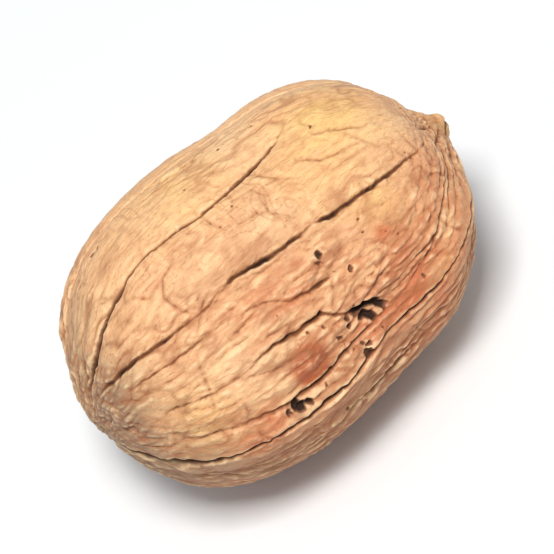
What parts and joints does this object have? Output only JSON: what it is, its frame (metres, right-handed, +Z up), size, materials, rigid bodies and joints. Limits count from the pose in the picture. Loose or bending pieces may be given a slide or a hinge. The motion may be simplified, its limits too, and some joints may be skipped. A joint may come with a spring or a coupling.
{
  "type": "walnut in its shell",
  "caption": "Whole closed walnut lying on one cheek, with a raised seam, long furrows and a pointed tip.",
  "frame": {"origin": "on the resting surface, under the middle of the nut's box", "axes": "+X along the nut from its base to its tip, +Z up out of the upper cheek, seam plane level"},
  "size_m": [0.0476, 0.0342, 0.0321],
  "materials": {
    "shell": "dry matt woody shell, pale tan with darker furrows"
  },
  "bodies": {
    "root": {"walnut": "shell"}
  },
  "joints": []
}
